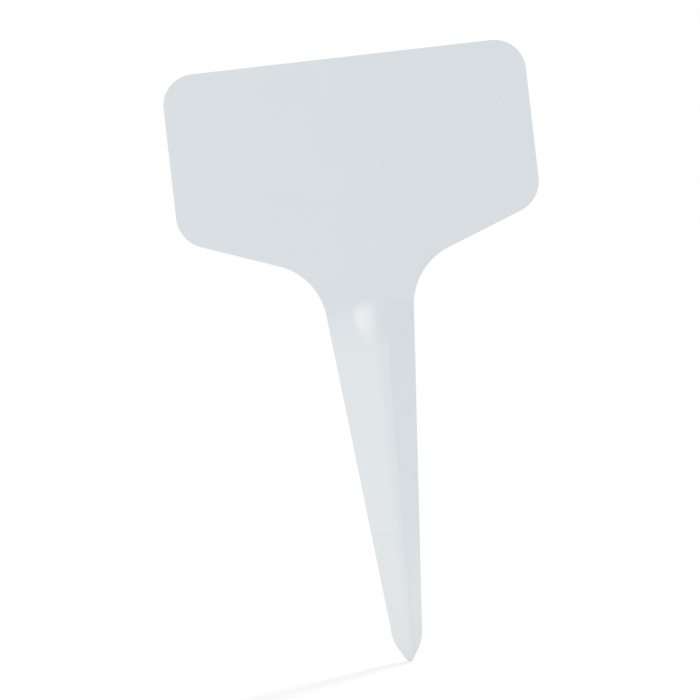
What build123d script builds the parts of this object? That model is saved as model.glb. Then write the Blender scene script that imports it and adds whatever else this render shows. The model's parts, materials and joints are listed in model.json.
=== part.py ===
from build123d import *
from math import exp, hypot, radians, sin, tan
import os

# Plant label stake: a T-shaped tag cut from one white plastic sheet.
# A fold pressed into its stem stiffens it.
# Millimetres. X runs across the head, the front faces -Y and Z runs up the stem.
# The origin is level with the point, in the middle of the head's width and of the sheet's thickness.

# The sheet
SHEET = 0.5                # thickness

# The cut outline: sharp corners first, then the radius of each
LENGTH = 99.8              # from the top edge to the end of the point
HEAD_WIDTH = 60.0
HEAD_SIDE = 27.1           # the head's upright sides, down to the shoulder corners
SHOULDER_SLOPE = 20.3      # degrees that the shoulders fall below the level
STEM_WIDTH = 15.7          # at the neck corners
POINT_WIDTH = 4.8          # where the stem's sides turn in to the point
POINT_ANGLE = 64.0         # degrees between the two sides of the point
TOP_RADIUS = 5.2
SHOULDER_RADIUS = 5.4
NECK_RADIUS = 10.5
POINT_SIDE_RADIUS = 6.2
POINT_RADIUS = 0.7

# The pressed fold: a left flank, a narrow crest and a right flank
FOLD_DROP = 4.5            # from the neck corners down to where the fold starts
FOLD_RUN = 7.0             # length over which two thirds of the fold opens
FOLD_SOFTNESS = 0.5        # how gently it leaves the flat neck
FOLD_OVERHANG = 1.0        # how far the press reaches past the stem's sides
FLANK_SLOPE = 0.25         # rise of the left flank, once the fold is open
CREST_SLOPE = 0.07         # rise of the crest from its left bend to its right bend
CREST_OFFSET = 0.7         # its left bend stands this far right of the middle, at the neck
CREST_WIDTH = 2.3          # between its bends at the neck, below which it narrows as the stem does
BEND_WIDTH = 0.9           # the rounded band along each bend

# The egg-shaped nose that the press leaves at the start of the fold
NOSE_HEIGHT = 0.9
NOSE_OFFSET = 0.9          # its top stands this far right of the middle
NOSE_LEFT = 4.0            # from its top to its left rim
NOSE_RIGHT = 6.0           # to its right rim
NOSE_UPPER = 2.6           # to its upper rim
NOSE_LOWER = 5.6           # to its lower rim
NOSE_FLATNESS = 2.0        # at 2, its top is as round as a ball's, and above 2 it is flatter
NOSE_RIM = 2.0             # above 1, its rim runs out softly into the sheet

# How the pressed sheet is drawn
SECTIONS = 32              # cross-sections of the stem, after the first
SECTION_CROWDING = 1.8     # above 1, they stand closer together at the start of the fold
SECTION_POINTS = 37        # control points of each
SECTION_DEGREE = 3         # of its curves

shoulder_z = LENGTH - HEAD_SIDE
neck_z = shoulder_z - (HEAD_WIDTH - STEM_WIDTH) / 2 * tan(radians(SHOULDER_SLOPE))
apex_z = POINT_RADIUS * (1 - 1 / sin(radians(POINT_ANGLE / 2)))
point_z = apex_z + POINT_WIDTH / 2 / tan(radians(POINT_ANGLE / 2))
fold_z = neck_z - FOLD_DROP
trim = 3 * FOLD_OVERHANG   # spare sheet round the outline, which the cutting takes away


def stem_half_width(z):
    """Half the stem's width at a height, between its straight sides."""
    share = (z - point_z) / (neck_z - point_z)
    return (POINT_WIDTH + share * (STEM_WIDTH - POINT_WIDTH)) / 2


def past_bend(x, bend):
    """How far a place lies past a bend: 0 before it, the distance after it, and a parabola over the bend."""
    into_bend = min(max(0.0, x - bend + BEND_WIDTH / 2), BEND_WIDTH)
    return into_bend**2 / (2 * BEND_WIDTH) + max(0.0, x - bend - BEND_WIDTH / 2)


def fold_height(x, z):
    """How far the fold lifts the sheet: straight flanks and a straight crest, which open exponentially.

    Both flanks end just past the stem's sides.
    """
    below = max(0.0, fold_z - z)
    opened = 1 - exp((FOLD_SOFTNESS - hypot(below, FOLD_SOFTNESS)) / FOLD_RUN)
    half_width = stem_half_width(z)
    reach = half_width + FOLD_OVERHANG
    taper = half_width / (STEM_WIDTH / 2)
    left_bend = CREST_OFFSET * taper
    right_bend = (CREST_OFFSET + CREST_WIDTH) * taper
    ridge = FLANK_SLOPE * (left_bend + reach) + CREST_SLOPE * (right_bend - left_bend)
    right_slope = ridge / (reach - right_bend)
    left_loss = (FLANK_SLOPE - CREST_SLOPE) * past_bend(x, left_bend)
    right_loss = (CREST_SLOPE + right_slope) * past_bend(x, right_bend)
    return (FLANK_SLOPE * (x + reach) - left_loss - right_loss) * opened


def nose_height(x, z):
    """How far the nose lifts it: a soft-rimmed cap, whose rim is made of four quarters of ellipses."""
    above_top = z - (fold_z - NOSE_UPPER)
    up = above_top / (NOSE_UPPER if above_top > 0 else NOSE_LOWER)
    aside = (x - NOSE_OFFSET) / (NOSE_RIGHT if x > NOSE_OFFSET else NOSE_LEFT)
    outward = min(1.0, hypot(aside, up))
    return NOSE_HEIGHT * (1 - outward**NOSE_FLATNESS) ** NOSE_RIM


def sheet_front(x, z):
    """Depth of the sheet's front face at a place on the stem."""
    return -SHEET / 2 - fold_height(x, z) - nose_height(x, z)


# Label stake: the sheet is pressed, then cut to its outline
with BuildPart() as label_stake:
    # The pressed stem, drawn through cross-sections from just above the fold to below the point
    stem_top = fold_z + trim / 2
    stem_drop = stem_top + trim
    spans = SECTION_POINTS - SECTION_DEGREE
    knots = [0] * SECTION_DEGREE + list(range(spans + 1)) + [spans] * SECTION_DEGREE
    for section in range(SECTIONS + 1):
        height = stem_top - stem_drop * (section / SECTIONS) ** SECTION_CROWDING
        half_width = stem_half_width(height) + trim
        step = 2 * half_width / (SECTION_POINTS - 1)
        places = [step * point - half_width for point in range(SECTION_POINTS)]
        with BuildSketch(Plane.XY.offset(height)):
            with BuildLine():
                front = BSpline([(x, sheet_front(x, height)) for x in places], knots, SECTION_DEGREE)
                back = BSpline([(x, sheet_front(x, height) + SHEET) for x in places], knots, SECTION_DEGREE)
                Line(front @ 0, back @ 0)
                Line(front @ 1, back @ 1)
            make_face()
    loft()

    # The flat sheet that stays for the neck and the head
    with BuildSketch(Plane.XZ):
        with Locations((0, stem_top)):
            Rectangle(HEAD_WIDTH + 2 * trim, LENGTH + trim - stem_top, align=(Align.CENTER, Align.MIN))
    extrude(amount=SHEET / 2, both=True)

    # The outline, cut right through both
    with BuildSketch(Plane.XZ):
        with BuildLine():
            right_side = [
                (HEAD_WIDTH / 2, LENGTH),
                (HEAD_WIDTH / 2, shoulder_z),
                (STEM_WIDTH / 2, neck_z),
                (POINT_WIDTH / 2, point_z),
            ]
            left_side = [(-x, z) for x, z in reversed(right_side)]
            side_radii = [TOP_RADIUS, SHOULDER_RADIUS, NECK_RADIUS, POINT_SIDE_RADIUS]
            radii = side_radii + [POINT_RADIUS] + side_radii[::-1]
            FilletPolyline(*right_side, (0, apex_z), *left_side, radius=radii, close=True)
        make_face()
    extrude(amount=LENGTH, both=True, mode=Mode.INTERSECT)

label_stake.part.label = "label_stake"
os.makedirs("parts", exist_ok=True)
export_step(label_stake.part, "parts/label_stake.step")
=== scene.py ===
import json

import bpy
import numpy as np
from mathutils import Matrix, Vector


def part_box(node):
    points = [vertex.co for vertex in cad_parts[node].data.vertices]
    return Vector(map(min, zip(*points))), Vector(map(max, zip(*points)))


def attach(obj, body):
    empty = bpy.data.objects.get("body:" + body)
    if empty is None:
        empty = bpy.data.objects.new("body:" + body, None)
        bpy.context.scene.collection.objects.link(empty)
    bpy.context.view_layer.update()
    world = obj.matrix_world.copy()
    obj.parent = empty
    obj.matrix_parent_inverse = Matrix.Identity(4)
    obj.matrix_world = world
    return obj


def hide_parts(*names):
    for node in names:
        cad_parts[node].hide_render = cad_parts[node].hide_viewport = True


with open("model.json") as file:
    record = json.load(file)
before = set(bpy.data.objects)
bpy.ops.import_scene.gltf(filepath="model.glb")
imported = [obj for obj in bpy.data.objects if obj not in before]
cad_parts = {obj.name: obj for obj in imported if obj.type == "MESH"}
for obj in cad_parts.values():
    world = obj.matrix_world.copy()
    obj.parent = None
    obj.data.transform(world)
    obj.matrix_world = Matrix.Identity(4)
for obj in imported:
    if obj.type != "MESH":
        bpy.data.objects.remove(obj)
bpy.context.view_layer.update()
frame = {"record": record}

# Label stake, the outline: a plant tag cut by a die from one thin sheet of white plastic.
# A wide head to write on stands on sloping shoulders, and a long stem tapers down to a point.
# Every corner is rounded, most of all the neck under each shoulder.
MM = 0.001
stake_low, stake_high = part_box("label_stake")
length = stake_high.z
head_width = stake_high.x - stake_low.x
head_side = 27.1 * MM
shoulder_slope = np.radians(20.3)
stem_width = 15.7 * MM
point_width = 4.8 * MM
point_angle = np.radians(64)
top_radius = 5.2 * MM
shoulder_radius = 5.4 * MM
neck_radius = 10.5 * MM
point_side_radius = 6.2 * MM
point_radius = 0.7 * MM

shoulder_z = length - head_side
neck_z = shoulder_z - (head_width - stem_width) / 2 * np.tan(shoulder_slope)
apex_z = point_radius * (1 - 1 / np.sin(point_angle / 2))
point_z = apex_z + point_width / 2 / np.tan(point_angle / 2)
corners = np.array([
    [head_width / 2, length],
    [head_width / 2, shoulder_z],
    [stem_width / 2, neck_z],
    [point_width / 2, point_z],
    [0, apex_z],
])
corner_radii = (top_radius, shoulder_radius, neck_radius, point_side_radius, point_radius)
corner_shares = (1, 1, 1, 1, 0.47)    # of each arc that is drawn: the point's stops just short of the middle
corner_steps = (14, 14, 40, 12, 12)   # points along each corner's arc
run_steps = (8, 14, 230, 8)           # steps along each straight run between two corners
columns = 81                          # places across each level row


def right_side(inset):
    """Places across and up on the right side of the outline, moved in by inset, from the top to the point.

    Each corner is an arc that meets both of its straight runs smoothly. Its points stand at the corner's
    radius from the arc's centre, on normals that turn evenly from one run to the next.
    """
    stops = np.vstack([[0, length], corners, corners[-2] * [-1, 1]])
    runs = np.diff(stops, axis=0)
    headings = np.unwrap(np.arctan2(runs[:, 1], runs[:, 0]))
    arcs = []
    for k, (corner, radius) in enumerate(zip(corners, corner_radii)):
        turn = headings[k + 1] - headings[k]
        reach = -np.sign(turn) * radius
        middle = headings[k] + turn / 2
        centre = corner - reach / np.cos(turn / 2) * np.array([-np.sin(middle), np.cos(middle)])
        heading = headings[k] + turn * np.linspace(0, corner_shares[k], corner_steps[k])
        normal = np.stack([-np.sin(heading), np.cos(heading)], axis=1)
        arcs.append(centre + (reach - inset) * normal)
    line = [arcs[0]]
    for before, after, steps in zip(arcs, arcs[1:], run_steps):
        line += [np.linspace(before[-1], after[0], steps + 1)[1:-1], after]
    return np.vstack(line)


def level_rows(inset):
    """The cut sheet as a grid, moved in by inset: level rows from left to right, from the top down."""
    side = right_side(inset)
    across = np.linspace(-1, 1, columns)
    return side[:, :1] * across, np.repeat(side[:, 1:], columns, axis=1)


# Label stake, the fold: the stem is pressed between two dies into a shallow ridge that stiffens it.
# The ridge stands out on the front and is hollow behind, with a narrow crest right of the middle.
# It starts in an egg-shaped nose below the neck and runs on down to the point.
face_depth = {mount["name"]: mount["pos_m"][1] for mount in frame["record"]["mounts"]}
sheet = face_depth["back_face"] - face_depth["writing_face"]
fold_drop = 4.5 * MM       # from the neck corners down to where the fold starts
fold_run = 7 * MM          # length over which two thirds of the fold opens
fold_softness = 0.5 * MM   # how gently it leaves the flat neck
fold_overhang = 1 * MM     # how far the press reaches past the stem's sides
flank_slope = 0.25         # rise of the left flank, once the fold is open
crest_slope = 0.07         # rise of the crest from its left bend to its right bend
crest_offset = 0.7 * MM    # its left bend stands this far right of the middle, at the neck
crest_width = 2.3 * MM     # between its bends at the neck, below which it narrows as the stem does
bend_width = 0.9 * MM      # the rounded band along each bend
nose_rise = 0.9 * MM
nose_offset = 0.9 * MM     # its top stands this far right of the middle
nose_left = 4 * MM         # from its top to its left rim
nose_right = 6 * MM        # to its right rim
nose_upper = 2.6 * MM      # to its upper rim
nose_lower = 5.6 * MM      # to its lower rim
nose_flatness = 2          # at 2, its top is as round as a ball's, and above 2 it is flatter
nose_rim = 2               # above 1, its rim runs out softly into the sheet
fold_z = neck_z - fold_drop


def fold_opening(z):
    """How far the fold has opened, from 0 at its start towards 1: an exponential with a soft beginning."""
    below = np.maximum(0, fold_z - z)
    return 1 - np.exp((fold_softness - np.hypot(below, fold_softness)) / fold_run)


def stem_half_width(z):
    """Half the stem's width at a height, between its straight sides."""
    return (point_width + (stem_width - point_width) * (z - point_z) / (neck_z - point_z)) / 2


def crest_bends(z):
    """Places across of the crest's left and right bend, which draw together as the stem narrows."""
    taper = stem_half_width(z) / (stem_width / 2)
    return crest_offset * taper, (crest_offset + crest_width) * taper


def past_bend(x, bend):
    """How far a place lies past a bend: 0 before it, the distance after it, and a parabola over the bend."""
    into_bend = np.clip(x - bend + bend_width / 2, 0, bend_width)
    return into_bend**2 / (2 * bend_width) + np.maximum(0, x - bend - bend_width / 2)


def fold_height(x, z):
    """Lift of the fold: a straight left flank, a crest that rises a little further, and a right flank.

    Both flanks end just past the stem's sides, and a soft bend parts each of them from the crest.
    """
    reach = stem_half_width(z) + fold_overhang
    left_bend, right_bend = crest_bends(z)
    ridge = flank_slope * (left_bend + reach) + crest_slope * (right_bend - left_bend)
    right_slope = ridge / (reach - right_bend)
    left_loss = (flank_slope - crest_slope) * past_bend(x, left_bend)
    right_loss = (crest_slope + right_slope) * past_bend(x, right_bend)
    return (flank_slope * (x + reach) - left_loss - right_loss) * fold_opening(z)


def nose_height(x, z):
    """Lift of the nose: a round-topped cap with a soft rim, which is made of four quarters of ellipses."""
    above_top = z - (fold_z - nose_upper)
    up = above_top / np.where(above_top > 0, nose_upper, nose_lower)
    aside = (x - nose_offset) / np.where(x > nose_offset, nose_right, nose_left)
    outward = np.minimum(1, np.hypot(aside, up))
    return nose_rise * (1 - outward**nose_flatness) ** nose_rim


def sheet_front(x, z):
    """Depth of the sheet's front face: half the sheet's thickness, plus both lifts."""
    return -sheet / 2 - fold_height(x, z) - nose_height(x, z)


# Label stake, the sheet: front face, cut wall and back face as one closed skin.
# The die leaves a square wall, and handling has rubbed its two edges into small quarter rounds.
# A narrow flat band beside each edge keeps the shading of the faces even.
edge_radius = 0.08 * MM
edge_band = 0.04 * MM
edge_steps = 4


def border(grid):
    """What lies on a grid's border, clockwise from its first corner and back to just before it."""
    return np.concatenate([grid[0, :-1], grid[:-1, -1], grid[-1, :0:-1], grid[:0:-1, 0]])


def quads(numbers):
    """The four corners of each cell of a grid of vertex numbers."""
    cells = [numbers[:-1, :-1], numbers[:-1, 1:], numbers[1:, 1:], numbers[1:, :-1]]
    return np.stack(cells, axis=-1).reshape(-1, 4)


face_x, face_z = level_rows(edge_radius + edge_band)
face_y = sheet_front(face_x, face_z)
front_face = np.stack([face_x, face_y, face_z], axis=-1)
back_face = np.stack([face_x, face_y + sheet, face_z], axis=-1)

turns = np.linspace(0, np.pi / 2, edge_steps)
wall_rings = []
for turn in turns:
    ring_x, ring_z = [border(values) for values in level_rows(edge_radius * (1 - np.sin(turn)))]
    ring_y = sheet_front(ring_x, ring_z) + edge_radius * (1 - np.cos(turn))
    wall_rings.append(np.stack([ring_x, ring_y, ring_z], axis=-1))
for ring, turn in zip(wall_rings[::-1], turns[::-1]):
    wall_rings.append(ring + [0, sheet - 2 * edge_radius * (1 - np.cos(turn)), 0])
wall = np.array(wall_rings)

skin = np.vstack([part.reshape(-1, 3) for part in (front_face, wall, back_face)])
numbers = np.arange(len(skin))
front_numbers = numbers[:face_x.size].reshape(face_x.shape)
back_numbers = numbers[-face_x.size:].reshape(face_x.shape)
ring_numbers = numbers[face_x.size:-face_x.size].reshape(wall.shape[:2])
wall_numbers = np.vstack([border(front_numbers), ring_numbers, border(back_numbers)])
wall_numbers = np.hstack([wall_numbers, wall_numbers[:, :1]])
front_quads = quads(front_numbers)[:, ::-1]    # turned, so that the front faces outwards too
faces = np.vstack([front_quads, quads(wall_numbers), quads(back_numbers)])

stake_mesh = bpy.data.meshes.new("cut_label_stake")
stake_mesh.from_pydata(skin.tolist(), [], faces.tolist())
stake_mesh.shade_smooth()
ring_shares = np.repeat(np.sin(np.concatenate([turns, turns[::-1]])), wall.shape[1])
cut = np.concatenate([np.zeros(face_x.size), ring_shares, np.zeros(face_x.size)])
left_bend, right_bend = crest_bends(skin[:, 2])
off_crest = (2 * skin[:, 0] - left_bend - right_bend) / (right_bend - left_bend)
strain = fold_opening(skin[:, 2]) * np.exp(-off_crest**2)
for name, values in (("cut", cut), ("strain", strain)):
    stake_mesh.attributes.new(name, "FLOAT", "POINT").data.foreach_set("value", values)
label_stake = bpy.data.objects.new("cut_label_stake", stake_mesh)
bpy.context.scene.collection.objects.link(label_stake)
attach(label_stake, "root")
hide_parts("label_stake")


# Label stake, the finish: white plastic with a cool cast, rolled to a satin sheet with a fine grain.
# The tone drifts a little, the rolls leave faint level streaks, and a few specks lie in the plastic.
# The cut wall is rougher and scored by the die, its edges are rubbed, and the bent crest is paler.
class Wire:
    """One output of a shader node, so that shader maths reads as plain expressions."""

    def __init__(self, tree, socket=None):
        self.tree = tree
        self.socket = socket

    def node(self, kind, settings, inputs, output=0):
        """Adds a node, applies its settings, then sets or links its inputs, and gives one of its outputs."""
        made = self.tree.nodes.new(kind)
        for name, value in settings.items():
            setattr(made, name, value)
        for name, value in inputs.items():
            if isinstance(value, Wire):
                self.tree.links.new(value.socket, made.inputs[name])
            else:
                made.inputs[name].default_value = value
        return Wire(self.tree, made.outputs[output] if made.outputs else None)

    def maths(self, operation, *values):
        """A Math node on the values given, which are wires or numbers."""
        return self.node("ShaderNodeMath", {"operation": operation}, dict(enumerate(values)))

    def __add__(self, other):
        return self.maths("ADD", self, other)

    def __sub__(self, other):
        return self.maths("SUBTRACT", self, other)

    def __rsub__(self, other):
        return self.maths("SUBTRACT", other, self)

    def __mul__(self, other):
        return self.maths("MULTIPLY", self, other)

    __radd__ = __add__
    __rmul__ = __mul__


def noise(place, size, detail):
    """Noise between 0 and 1 whose largest lumps are about as big as size."""
    return place.node("ShaderNodeTexNoise", {}, {"Vector": place, "Scale": 1 / size, "Detail": detail})


def drawn_out(place, shares):
    """The place with each axis cut to a share of itself, so that a pattern is drawn out along it."""
    return place.node("ShaderNodeMapping", {}, {"Vector": place, "Scale": shares})


def blended(share, first, second):
    """The first colour where share is 0, and the second where it is 1.

    The Mix node's sockets go by number, because its kinds of data share their names.
    """
    settings = {"data_type": "RGBA"}
    return share.node("ShaderNodeMix", settings, {0: share, 6: first, 7: second}, output=2)


plastic = bpy.data.materials.new("satin_white_plastic")
plastic.use_nodes = True
plastic.node_tree.nodes.clear()
start = Wire(plastic.node_tree)
place = start.node("ShaderNodeTexCoord", {}, {}, "Object")
cut_share = start.node("ShaderNodeAttribute", {"attribute_name": "cut"}, {}, "Fac")
strain_share = start.node("ShaderNodeAttribute", {"attribute_name": "strain"}, {}, "Fac")
rubbed_share = 4 * cut_share * (1 - cut_share)    # most on the rounded edges, 0 on the faces and the wall

drift_size = 14 * MM
grain_size = 0.25 * MM
grain_depth = 0.010 * MM
streak_size = 0.9 * MM
along_the_roll = (0.04, 1, 1)
score_size = 0.12 * MM
through_the_sheet = (1, 0.05, 1)
drift = noise(place, drift_size, detail=2.0)
grain = noise(place, grain_size, detail=3.0)
streaks = noise(drawn_out(place, along_the_roll), streak_size, detail=1.0)
scores = noise(drawn_out(place, through_the_sheet), score_size, detail=2.0) * cut_share

speck_spacing = 4 * MM
speck_core = 0.05 * MM
speck_rim = 0.20 * MM
speck_stretch = (0.5, 1, 1)
speck_distance = start.node("ShaderNodeTexVoronoi", {}, {
    "Vector": drawn_out(place, speck_stretch),
    "Scale": 1 / speck_spacing,
}, "Distance")
speck_share = start.node("ShaderNodeMapRange", {"interpolation_type": "SMOOTHSTEP"}, {
    "Value": speck_distance,
    "From Min": speck_core / speck_spacing,
    "From Max": speck_rim / speck_spacing,
    "To Min": 1.0,
    "To Max": 0.0,
})

shaded_tone = (0.660, 0.714, 0.757, 1)
bright_tone = (0.703, 0.754, 0.793, 1)
bent_tone = (0.728, 0.776, 0.808, 1)
cut_tone = (0.660, 0.708, 0.744, 1)
speck_tone = (0.600, 0.642, 0.674, 1)
drift_weight = 0.7
streak_weight = 0.2
grain_weight = 0.1
bend_whitening = 0.3
brightness = drift_weight * drift + streak_weight * streaks + grain_weight * grain
sheet_tone = blended(brightness, shaded_tone, bright_tone)
bent_sheet_tone = blended(bend_whitening * strain_share, sheet_tone, bent_tone)
cut_sheet_tone = blended(cut_share, bent_sheet_tone, cut_tone)
colour = blended(speck_share, cut_sheet_tone, speck_tone)

satin = 0.40
grain_roughness = 0.06
streak_roughness = 0.04
cut_roughness = 0.15
rubbed_polish = 0.10
face_roughness = satin + grain_roughness * grain + streak_roughness * streaks
roughness = face_roughness + cut_roughness * cut_share - rubbed_polish * rubbed_share
streak_relief = 0.3
score_relief = 2
relief = start.node("ShaderNodeBump", {}, {
    "Height": grain + streak_relief * streaks + score_relief * scores,
    "Distance": grain_depth,
}, "Normal")
plastic_ior = 1.53
plastic_skin = start.node("ShaderNodeBsdfPrincipled", {}, {
    "Base Color": colour,
    "Roughness": roughness,
    "Normal": relief,
    "IOR": plastic_ior,
})
start.node("ShaderNodeOutputMaterial", {}, {"Surface": plastic_skin})
stake_mesh.materials.append(plastic)

# Floor and backdrop: a pale floor level with the point, and an even white studio around it.
# The camera and reflections see both as white, while the light that they give is a little weaker.
# The floor keeps the tag's soft shadow.
floor_reach = 3.0    # metres from the middle to each side
floor_mesh = bpy.data.meshes.new("studio_floor")
floor_corners = np.array([[-1, -1, 0], [1, -1, 0], [1, 1, 0], [-1, 1, 0]]) * floor_reach
floor_mesh.from_pydata(floor_corners.tolist(), [], [(0, 1, 2, 3)])
studio_floor = bpy.data.objects.new("studio_floor", floor_mesh)
bpy.context.scene.collection.objects.link(studio_floor)


def seen_directly(start):
    """1 for a ray from the camera, a reflection or a clear material, and 0 for one that lights a surface."""
    rays = [start.node("ShaderNodeLightPath", {}, {}, name)
            for name in ("Is Camera Ray", "Is Glossy Ray", "Is Transmission Ray")]
    return start.maths("MINIMUM", rays[0] + rays[1] + rays[2], 1.0)


floor_tone = (0.90, 0.90, 0.90, 1)
floor_glow = 0.10
floor_paint = bpy.data.materials.new("pale_floor")
floor_paint.use_nodes = True
floor_paint.node_tree.nodes.clear()
start = Wire(floor_paint.node_tree)
matt = start.node("ShaderNodeBsdfDiffuse", {}, {"Color": floor_tone})
glow = start.node("ShaderNodeEmission", {}, {"Strength": floor_glow * seen_directly(start)})
floor_skin = start.node("ShaderNodeAddShader", {}, {0: matt, 1: glow})
start.node("ShaderNodeOutputMaterial", {}, {"Surface": floor_skin})
floor_mesh.materials.append(floor_paint)

studio_level = 0.916
studio = bpy.data.worlds.new("white_studio")
studio.use_nodes = True
studio.node_tree.nodes.clear()
start = Wire(studio.node_tree)
even_light = start.node("ShaderNodeBackground", {}, {
    "Color": (1, 1, 1, 1),
    "Strength": studio_level + (1 - studio_level) * seen_directly(start),
})
start.node("ShaderNodeOutputWorld", {}, {"Surface": even_light})
bpy.context.scene.world = studio

# Soft boxes: lamps around the tag, which shine on it alone and leave the floor even.
# The warm one on the left grazes the front, so that the fold's left flank and the nose light up.
# Weak ones fill the right flank, the start of the fold and the point, and one shapes the hollow behind.
lit_stake = bpy.data.collections.new("lit_by_soft_boxes")
lit_stake.objects.link(label_stake)


def soft_box(name, direction, distance, width, power, tint, aim_height=55 * MM):
    """A square lamp that faces a place on the tag's middle line, at a distance from it."""
    lamp = bpy.data.lights.new(name, "AREA")
    lamp.size = width
    lamp.energy = power
    lamp.color = tint
    towards_lamp = Vector(direction).normalized()
    box = bpy.data.objects.new(name, lamp)
    box.location = Vector((0, 0, aim_height)) + towards_lamp * distance
    box.rotation_euler = towards_lamp.to_track_quat("Z", "Y").to_euler()
    box.visible_camera = False
    box.light_linking.receiver_collection = lit_stake
    bpy.context.scene.collection.objects.link(box)


soft_box("left_soft_box", direction=(-1, -0.07, 0.12), distance=220 * MM,
         width=60 * MM, power=0.265, tint=(1, 0.83, 0.66))
soft_box("right_soft_box", direction=(1, -0.35, -0.25), distance=220 * MM,
         width=60 * MM, power=0.022, tint=(1, 0.80, 0.62))
soft_box("top_soft_box", direction=(0.6, -0.40, 0.9), distance=600 * MM,
         width=250 * MM, power=0.16, tint=(1, 1, 1))
soft_box("point_soft_box", direction=(0.7, -0.7, 0.05), distance=22 * MM,
         width=10 * MM, power=0.00030, tint=(1, 0.68, 0.45), aim_height=6 * MM)
soft_box("back_soft_box", direction=(0.9, 0.35, 0.5), distance=600 * MM,
         width=250 * MM, power=0.45, tint=(1, 1, 1))

# Back light: broad and even, from behind the tag on the right.
# It throws the tag's soft shadow forwards over the floor.
towards_back_light = Vector((0.5, 0.87, 0.8))
back_lamp = bpy.data.lights.new("back_light", "SUN")
back_lamp.angle = np.radians(14)
back_lamp.energy = 0.63
back_light = bpy.data.objects.new("back_light", back_lamp)
back_light.rotation_euler = towards_back_light.to_track_quat("Z", "Y").to_euler()
bpy.context.scene.collection.objects.link(back_light)

# Camera: straight on to the front, with a lens so long that the view is almost flat.
# It is turned a little, so that the tag leans to the left.
lens = 200.0    # this and the sensor are in millimetres, as a camera counts them
sensor = 36.0
view_width = 115.08 * MM
view_middle = Vector((-4.01, 0, 51.82)) * MM
lean = np.radians(6.541)
camera_data = bpy.data.cameras.new("front_camera")
camera_data.lens = lens
camera_data.sensor_width = sensor
camera = bpy.data.objects.new("front_camera", camera_data)
camera.location = view_middle - Vector((0, view_width * lens / sensor, 0))
camera.rotation_euler = (np.pi / 2, lean, 0)
bpy.context.scene.collection.objects.link(camera)
bpy.context.scene.camera = camera
bpy.context.scene.view_settings.view_transform = "Standard"
